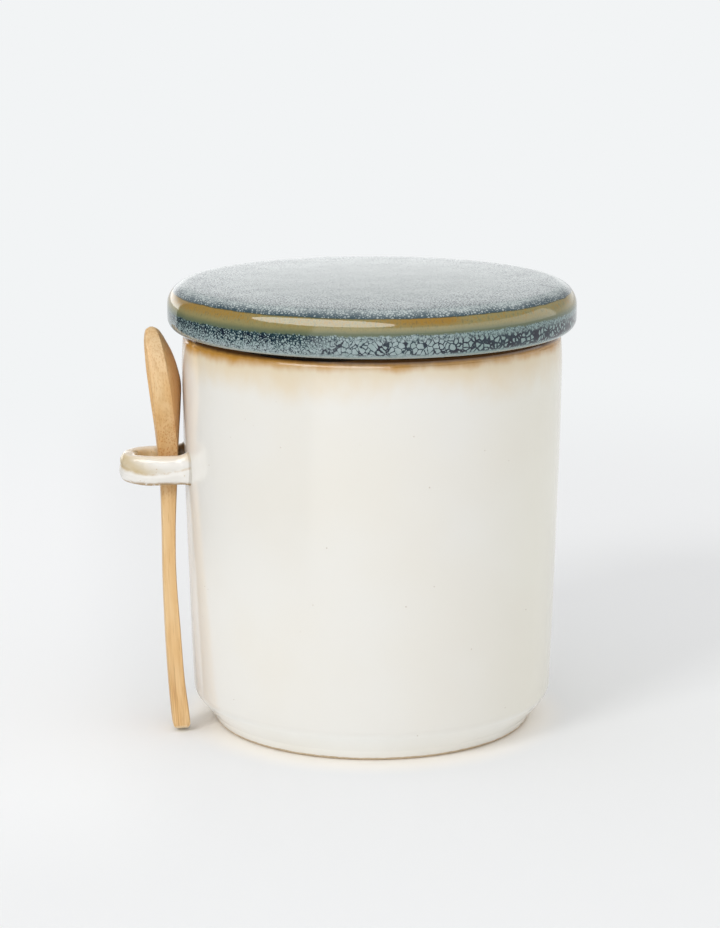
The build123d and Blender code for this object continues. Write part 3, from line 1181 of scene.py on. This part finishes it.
@dataclass
class SpoonRing(Piece):
    """The ring for the spoon: a strap of clay bent to a U, with its ends smeared on the wall."""

    name = "strap_ring"
    body = Body.JAR
    node = "spoon_ring"
    slot = Slot.RING_GLAZE
    finish: Finish = RingGlaze()
    height: float = 0.0838
    tip_centre: float = -0.0698
    outer_radius: float = 0.0108
    arm_thickness: float = 0.0054
    tip_thickness: float = 0.0064
    strap_height: float = 0.0093
    root: float = -0.0572
    spread_start: float = -0.0652
    arm_places: tuple[float, ...] = (0.0, 0.2, 0.32, 0.42, 0.52, 0.64, 0.8, 1.0)
    spread_end: float = 0.75
    spread_wide: float = 0.0034
    spread_tall: float = 0.0030
    spread_out: float = 0.0014
    front_lift: float = 0.0011
    rear_lift: float = 0.0009
    bend_lead: float = 0.0014
    bend_steps: int = 32
    section_steps: int = 48
    squareness: float = 2.5
    seam_width: float = 0.0007
    crease_depth: float = 0.00042
    outer_face: float = 0.0008
    rear_arm: float = 0.004
    unevenness: float = 0.00022
    unevenness_rate: float = 190.0
    crease_angle: float = 60.0
    seam: Seam = Seam()

    def arm(self, side: int, heading: float, root_lift: float) -> list[Station]:
        """List the stations of one arm, from its smeared root to where the bend starts.

        Args:
            side: -1 for the front arm and 1 for the rear one.
            heading: The way that the arm faces.
            root_lift: How far its root is smeared up.

        Returns:
            The arm's stations.
        """
        across = self.outer_radius - self.arm_thickness / 2
        made = []
        for share in self.arm_places:
            x = self.root + (self.spread_start - self.root) * share
            spread = max(0.0, 1.0 - share / self.spread_end) ** 2
            middle = Vector((x, side * (across + self.spread_out * spread),
                             self.height + root_lift * spread))
            made.append(Station(middle, heading, self.arm_thickness + self.spread_wide * spread,
                                self.strap_height + self.spread_tall * spread))
        lead = Vector((self.tip_centre + self.bend_lead, side * across, self.height))
        return made + [Station(lead, heading, self.arm_thickness, self.strap_height)]

    def stations(self) -> list[Station]:
        """List the strap's stations from the front root round the tip to the rear root.

        Returns:
            The stations in order.
        """
        bend = []
        for number in range(self.bend_steps + 1):
            angle = math.pi * number / self.bend_steps
            thicker = self.tip_thickness - self.arm_thickness
            wide = self.arm_thickness + thicker * math.sin(angle) ** 2
            reach = self.outer_radius - wide / 2
            middle = Vector((self.tip_centre - math.sin(angle) * reach, -math.cos(angle) * reach,
                             self.height))
            bend.append(Station(middle, math.pi - angle, wide, self.strap_height))
        front, rear = self.arm(-1, math.pi, self.front_lift), self.arm(1, 0.0, self.rear_lift)
        return front + bend + rear[::-1]

    def loop(self, station: Station) -> list[Vector]:
        """The points round the strap's rounded section at a station.

        Args:
            station: The station.

        Returns:
            The points in order.
        """
        def squarish(way: float) -> float:
            """Push a point of a circle outwards, towards a square."""
            return math.copysign(abs(way) ** (2 / self.squareness), way) / 2

        out = Vector((-math.sin(station.heading), math.cos(station.heading), 0.0))
        points = []
        for number in range(self.section_steps):
            angle = math.tau * number / self.section_steps
            across = squarish(math.cos(angle)) * station.wide
            up = squarish(math.sin(angle)) * station.tall
            points.append(station.middle + out * across + Vector((0.0, 0.0, up)))
        return points

    def press_seam(self, shape: Shape) -> None:
        """Press the seam of the rolled clay into the outer face and finger the strap uneven.

        Args:
            shape: The strap.
        """
        shape.normal_update()
        pushed = []
        for vert in shape.verts:
            past = max(0.0, self.tip_centre - vert.co.x)
            outward = math.hypot(past, vert.co.y) - (self.outer_radius - self.tip_thickness / 2)
            depth = -noise.noise(vert.co * self.unevenness_rate) * self.unevenness
            if outward > self.outer_face and vert.co.y < self.rear_arm:
                rise = self.height + self.seam.rise(vert.co.x - self.tip_centre)
                depth += self.crease_depth * math.exp(-((vert.co.z - rise) / self.seam_width) ** 2)
            pushed.append((vert, vert.normal * depth))
        for vert, push in pushed:
            vert.co -= push

    def shape(self) -> Shape:
        """Draw the strap out round its U and press its seam.

        Returns:
            The strap's shape.
        """
        shape = drawn_out([self.loop(station) for station in self.stations()])
        self.press_seam(shape)
        return shape

    def build(self) -> bpy.types.Object:
        """Build the strap and round it off.

        Returns:
            The finished piece.
        """
        piece = super().build()
        smooth = piece.modifiers.new("round off", "SUBSURF")
        smooth.levels = smooth.render_levels = 1
        return piece


@dataclass
class SpoonSection:
    """One section of the spoon: its place along it, its width and the depths of its faces."""

    place: float
    width: float
    outer: float
    edge: float
    back: float


@dataclass
class Spoon(Piece):
    """The bamboo spoon: a flat stem that swells into a carved bowl.

    Each row of shares is a place along the stem or the bowl, then the width, the outer face, the
    edge and the back there as shares of its full width and depth. The places near the foot are
    in thousandths of the stem, and those near the tip in hundredths of the bowl.
    """

    name = "bamboo_spoon"
    body = Body.SPOON
    node = "spoon"
    slot = Slot.BAMBOO
    finish: Finish = Bamboo()
    foot: Triple = (-0.063168, -0.010996, 0.000824)
    along: Triple = (-0.047738, 0.130896, 0.990246)
    outward: Triple = (-0.998860, -0.006256, -0.047326)
    length: float = 0.12776
    bowl_length: float = 0.0392
    stem_width: float = 0.008
    stem_thickness: float = 0.005
    bowl_width: float = 0.022
    belly_depth: float = 0.008
    rim: float = 0.002
    bowl_end: float = 0.0041
    hollow_depth: float = 0.0055
    deepest_row: int = 3
    edge_round: float = 0.0007
    round_middle: float = 0.29
    most_round: tuple[float, float] = (3.0, 2.5)
    belly_power: float = 1.8
    flat_steps: int = 16
    side_steps: int = 4
    belly_steps: int = 14
    foot_places: tuple[float, ...] = (0, 1.5, 3, 5, 7, 9, 12, 15, 19)
    stem_steps: int = 40
    bowl_steps: int = 56
    tip_places: tuple[float, ...] = (97.2, 98, 98.6, 99.1, 99.5, 99.8, 100)
    crease_angle: float = 30.0
    stem_shares: tuple[tuple[float, ...], ...] = (
        (0.000, 0.84, 0.28, -0.44, -0.50),
        (0.005, 0.97, 0.39, -0.54, -0.62),
        (0.012, 1.02, 0.43, -0.58, -0.66),
        (0.058, 1.04, 0.48, -0.54, -0.63),
        (0.173, 1.00, 0.52, -0.41, -0.50),
        (0.345, 0.96, 0.51, -0.38, -0.47),
        (0.547, 0.92, 0.41, -0.36, -0.45),
        (0.719, 0.94, 0.25, -0.52, -0.62),
        (0.885, 1.00, 0.14, -0.80, -0.92),
    )
    bowl_shares: tuple[tuple[float, ...], ...] = (
        (0.000, 0.42, 0.11, -0.63, -0.71),
        (0.197, 0.70, 0.14, -0.59, -0.83),
        (0.361, 0.92, 0.19, -0.54, -0.93),
        (0.525, 1.00, 0.24, -0.48, -1.00),
        (0.656, 0.95, 0.28, -0.41, -0.91),
        (0.777, 0.80, 0.30, -0.35, -0.75),
        (0.879, 0.58, 0.31, -0.28, -0.53),
        (0.945, 0.38, 0.28, -0.20, -0.36),
        (0.982, 0.22, 0.22, -0.12, -0.22),
        (1.000, 0.05, 0.08, -0.02, -0.05),
    )

    def __post_init__(self) -> None:
        """Turn the bamboo's fibres the way that the spoon leans."""
        along, outward = Vector(self.along), Vector(self.outward)
        self.finish = Bamboo(turn=tuple(Matrix((along.cross(outward), outward, along)).to_euler()))

    def knots(self) -> list[SpoonSection]:
        """The drawn sections from the foot to the tip.

        Returns:
            The sections in metres.
        """
        stem = self.length - self.bowl_length
        made = []
        for shares, start, run, width, depth in (
            (self.stem_shares, 0.0, stem, self.stem_width, self.stem_thickness),
            (self.bowl_shares, stem, self.bowl_length, self.bowl_width, self.belly_depth),
        ):
            for place, wide, *faces in shares:
                made.append(SpoonSection(start + place * run, wide * width,
                                         *(face * depth for face in faces)))
        return made

    def section(self, place: float) -> SpoonSection:
        """The section at a place, on a smooth curve through the drawn ones.

        Args:
            place: Distance from the foot along the spoon.

        Returns:
            The section there.
        """
        knots = self.knots()
        last = max(0, min(len(knots) - 2, sum(knot.place <= place for knot in knots) - 1))
        before, start = knots[max(0, last - 1)], knots[last]
        end, after = knots[last + 1], knots[min(len(knots) - 1, last + 2)]
        span = end.place - start.place
        t = (place - start.place) / span

        def curve(name: str) -> float:
            """Follow one size along the smooth curve.

            Args:
                name: The size's name.

            Returns:
                The size at the place.
            """
            p0, p1, p2, p3 = (getattr(knot, name) for knot in (before, start, end, after))
            slope_in = (p2 - p0) / max(1e-9, end.place - before.place) * span
            slope_out = (p3 - p1) / max(1e-9, after.place - start.place) * span
            return ((2 * t**3 - 3 * t**2 + 1) * p1 + (t**3 - 2 * t**2 + t) * slope_in
                    + (-2 * t**3 + 3 * t**2) * p2 + (t**3 - t**2) * slope_out)

        return SpoonSection(place, *(curve(name) for name in ("width", "outer", "edge", "back")))

    def hollow(self, place: float, across: float) -> float:
        """How far out the hollow's surface lies.

        Args:
            place: Distance from the foot along the spoon.
            across: Distance from its middle line.

        Returns:
            The depth of the hollow there, or a large number outside it.
        """
        middle_place, _, middle_outer, *_ = self.bowl_shares[self.deepest_row]
        middle = self.length - self.bowl_length + self.bowl_length * middle_place
        half_length = self.bowl_length / 2 - self.bowl_end
        half_width = self.bowl_width / 2 - self.rim
        radius = (half_width**2 + self.hollow_depth**2) / (2 * self.hollow_depth)
        arc = (half_length**2 + self.hollow_depth**2) / (2 * self.hollow_depth)
        run = place - middle
        if abs(run) >= half_length:
            return 1.0
        reach = math.sqrt(max(0.0, arc**2 - run**2)) - arc + radius
        if reach <= abs(across):
            return 1.0
        return (self.belly_depth * middle_outer + radius - self.hollow_depth
                - math.sqrt(reach**2 - across**2))

    def section_points(self, place: float) -> list[Point]:
        """Points round one section, as outward and across.

        Args:
            place: Distance from the foot along the spoon.

        Returns:
            The points in order round the section.
        """
        cut = self.section(place)
        half = cut.width / 2
        by_depth, by_width = self.most_round
        ease = min(self.edge_round, (cut.outer - cut.edge) / by_depth, half / by_width)
        inset = self.round_middle * ease
        sides = [cut.outer - ease + (cut.edge - cut.outer + ease) * step / self.side_steps
                 for step in range(self.side_steps + 1)]
        made = []
        for step in range(self.flat_steps + 1):
            across = -(half - ease) + 2 * (half - ease) * step / self.flat_steps
            made.append((min(cut.outer, self.hollow(place, across)), across))
        made.append((cut.outer - inset, half - inset))
        made += [(out, half) for out in sides]
        for step in range(1, self.belly_steps):
            share = math.cos(math.pi * step / self.belly_steps)
            deep = 1 - abs(share) ** self.belly_power
            made.append((cut.edge + (cut.back - cut.edge) * deep, half * share))
        made += [(out, -half) for out in reversed(sides)]
        made.append((cut.outer - inset, inset - half))
        return made

    def shape(self) -> Shape:
        """Draw the spoon out from its foot, section by section.

        Returns:
            The spoon's shape.
        """
        foot, along, outward = Vector(self.foot), Vector(self.along), Vector(self.outward)
        across_way = along.cross(outward)
        bowl = self.bowl_length
        stem = self.length - bowl
        places = [stem * share / 1000 for share in self.foot_places]
        places += [stem * step / self.stem_steps for step in range(1, self.stem_steps)]
        places += [stem + bowl * step / self.bowl_steps for step in range(self.bowl_steps - 1)]
        places += [stem + bowl * share / 100 for share in self.tip_places]
        return drawn_out([
            [foot + along * place + outward * out + across_way * across
             for out, across in self.section_points(place)]
            for place in places
        ])


@dataclass(frozen=True)
class Lamp:
    """A soft box that faces the object. Its level is 1 where it would look white."""

    name: str
    turn: float
    rise: float
    away: float
    size: Point
    level: float
    shows: Shows
    shape: LampShape = LampShape.OBLONG


@dataclass(frozen=True)
class Sector:
    """A part of the surroundings between two angles, with soft sides and a soft end.

    Angles are in degrees round the object from the camera, positive to the right.
    """

    start: Span
    end: Span
    fade: Span

    def share(self, angle: Signal, other: Signal) -> Signal:
        """How much of the sector lies at an angle, and at a reach or a height."""
        return angle.over(*self.start) * angle.over(*self.end) * other.over(*self.fade)


@dataclass
class Studio:
    """The photograph's view, its pale floor and its lamps."""

    camera_place: Triple = (-0.1101, -0.8075, 0.2597)
    camera_pitch: float = 77.72
    camera_turn: float = -7.5
    camera_clip: Span = (0.01, 50.0)
    sensor: float = 36.0
    lens: float = 101.14
    lamp_aim: Triple = (0.0, 0.0, 0.13)
    floor_radius: float = 30.0
    floor_end: Span = (0.28, 0.62)
    foot_glow: Span = (0.066, 0.0512)
    left_glow: tuple[Span, Span] = ((-0.055, -0.10), (-0.16, -0.06))
    backdrop: Colour = tone(242, 244, 245)
    floor: Colour = tone(238, 239, 240)
    painted_bounce_at_foot: Colour = tone(251, 247, 241)
    painted_light_at_left: Colour = tone(244, 245, 246)
    unlit_floor: Colour = tone(70, 70, 70)
    bright_floor: Sector = Sector((-136.0, -138.0), (-173.0, -170.0), (0.20, 0.40))
    dark_floor: Sector = Sector((-140.0, -136.0), (-31.0, -37.0), (0.16, 0.34))
    window: Sector = Sector((-136.0, -138.0), (-173.0, -168.0), (0.70, 0.35))
    panel: tuple[Span, Span] = ((-35.0, -31.0), (124.5, 121.5))
    room_level: float = 0.10
    low_light: float = 0.45
    high_light: float = 0.98
    lamps: tuple[Lamp, ...] = (
        Lamp("key", -40.0, 33.0, 3.0, (0.85, 0.65), 12.0, Shows.LIGHT),
        Lamp("soft box glint", -34.0, 47.0, 1.6, (2.3, 1.02), 6.0, Shows.GLINT, LampShape.OVAL),
    )

    def set_camera(self) -> None:
        """Place the camera where the photograph was taken from."""
        data = bpy.data.cameras.new("view")
        data.sensor_width = self.sensor
        data.lens = self.lens
        data.clip_start, data.clip_end = self.camera_clip
        camera = bpy.data.objects.new("view", data)
        camera.location = self.camera_place
        camera.rotation_euler = (math.radians(self.camera_pitch), 0.0, math.radians(self.camera_turn))
        bpy.context.scene.collection.objects.link(camera)
        bpy.context.scene.camera = camera

    def bearings(self, x: Signal, y: Signal) -> tuple[Signal, Signal]:
        """Turn a direction or a place into its angle round the object and its reach.

        Args:
            x: Its part along X.
            y: Its part along Y.

        Returns:
            Degrees from the camera, positive to the right, and the distance from the axis.
        """
        turn = math.radians(-self.camera_turn)
        rightward = x * math.cos(turn) - y * math.sin(turn)
        towards = -(x * math.sin(turn) + y * math.cos(turn))
        angle = x.bench.maths("ARCTAN2", rightward, towards) * (180 / math.pi)
        return angle, x.bench.reach(x, y)

    def lay_floor(self) -> None:
        """Lay the pale floor, which keeps the object's shadow and turns into backdrop farther off."""
        shape = bmesh.new()
        bmesh.ops.create_circle(shape, cap_ends=True, segments=64, radius=self.floor_radius)
        material, b = new_bench("pale floor")
        x, y, _ = b.parts(b.spot())
        angle, reach = self.bearings(x, y)
        seen, mirrored = b.rays()
        left_x, left_y = self.left_glow
        pale = b.coats(
            self.floor,
            # Painted light: the floor lighter at the left
            (x.over(*left_x) * y.over(*left_y), self.painted_light_at_left),
            # Painted bounce light: the floor lighter and warmer near the foot
            (reach.over(*self.foot_glow), self.painted_bounce_at_foot),
        )
        bright, dark = (part.share(angle, reach) for part in (self.bright_floor, self.dark_floor))

        # The floor, with a dark part and a bright one that are only mirrored, and the far backdrop
        shown = b.node("ShaderNodeBsdfDiffuse", None, {"Color": pale})
        for share, kind, sockets in (
            (dark * mirrored, "ShaderNodeBsdfDiffuse", {"Color": self.unlit_floor}),
            (bright * mirrored, "ShaderNodeEmission", {"Color": self.backdrop, "Strength": 0.95}),
            (reach.over(*self.floor_end) * seen, "ShaderNodeEmission", {"Color": self.backdrop}),
        ):
            above = b.node(kind, None, sockets)
            layers = {0: share, 1: shown.outputs[0], 2: above.outputs[0]}
            shown = b.node("ShaderNodeMixShader", None, layers)
        b.node("ShaderNodeOutputMaterial", None, {"Surface": shown.outputs[0]})
        floor = piece_from(shape, "floor", material)

    def hang(self, lamp: Lamp) -> None:
        """Hang one lamp, which faces the lid.

        Args:
            lamp: Its place, size and level.
        """
        data = bpy.data.lights.new(lamp.name, "AREA")
        data.shape = lamp.shape.value
        data.size, data.size_y = lamp.size
        fill = math.pi / 4 if lamp.shape is LampShape.OVAL else 1.0
        data.energy = lamp.level * math.pi * lamp.size[0] * lamp.size[1] * fill
        hung = bpy.data.objects.new(lamp.name, data)
        angle = math.radians(lamp.turn + self.camera_turn - 90.0)
        tilt = math.radians(lamp.rise)
        flat = Vector((math.cos(angle), math.sin(angle), 0.0)) * math.cos(tilt)
        way = flat + Vector((0.0, 0.0, math.sin(tilt)))
        hung.location = Vector(self.lamp_aim) + way * lamp.away
        hung.rotation_euler = (-way).to_track_quat("-Z", "Y").to_euler()
        hung.visible_camera = False
        hung.visible_glossy = lamp.shows is Shows.GLINT
        hung.visible_diffuse = lamp.shows is Shows.LIGHT
        bpy.context.scene.collection.objects.link(hung)

    def light_level(self, angle: Signal, z: Signal) -> Signal:
        """What lights the object: pale above, a little less low in front, least low on the left.

        Args:
            angle: The direction round the object.
            z: How far up the direction points.

        Returns:
            The level in that direction.
        """
        front = abs(angle).over(60.0, 30.0)
        left = (-angle).over(30.0, 60.0) * (-angle).over(150.0, 120.0)
        low = self.low_light + front * 0.42 - left * 0.20
        return low + (self.high_light - low) * z.over(0.25, 0.60)

    def glint_level(self, angle: Signal, z: Signal) -> Signal:
        """What is only mirrored in the glaze.

        A window stands at the rear left and a panel from the front to the right, with pale walls
        behind and a dark room at the front left.

        Args:
            angle: The direction round the object.
            z: How far up the direction points.

        Returns:
            The level in that direction.
        """
        rightward = angle.bench.maths("SINE", angle * (math.pi / 180))
        start, end = self.panel
        window = self.window.share(angle, z)
        rear = angle.over(*reversed(end)).most(angle.over(*self.window.start))
        panel = angle.over(*start) * angle.over(*end)
        rear_level = 0.40 + z.over(0.27, 0.04) * (1.20 - rightward * 1.2) + window * 0.12
        panel_level = 0.30 + z.over(0.50, 0.42) * 1.35
        room = self.room_level
        return room + rear * (rear_level - room) + panel * (panel_level - room)

    def light_world(self) -> None:
        """Surround the object with what lights it and with what is only mirrored in it."""
        world = bpy.data.worlds.new("studio")
        bpy.context.scene.world = world
        world.use_nodes = True
        b = Bench(world.node_tree)
        x, y, z = b.parts(b.node("ShaderNodeTexCoord").outputs["Generated"])
        angle, _ = self.bearings(x, y)
        light, glint = self.light_level(angle, z), self.glint_level(angle, z)
        seen, mirrored = b.rays()
        level = light + (glint - light) * mirrored
        grey = b.node("ShaderNodeCombineColor", None, {0: level, 1: level, 2: level}).outputs[0]
        colour = b.coats(grey, (seen, self.backdrop))
        ground = b.node("ShaderNodeBackground", None, {"Color": colour})
        b.node("ShaderNodeOutputWorld", None, {"Surface": ground.outputs[0]})

    def build(self) -> None:
        """Set the camera, the floor, the world and the lamps, and the plain view transform."""
        self.set_camera()
        self.lay_floor()
        self.light_world()
        for lamp in self.lamps:
            self.hang(lamp)
        bpy.context.scene.view_settings.view_transform = "Standard"


def main() -> None:
    """Build the jar, its lid and seal, the ring and the spoon, then the studio."""
    logging.basicConfig(level=logging.INFO, format="%(name)s: %(message)s")
    for maker in (JarBody(), Lid(), LidSeal(), SpoonRing(), Spoon()):
        maker.build()
    Studio().build()


if __name__ == "__main__":
    main()
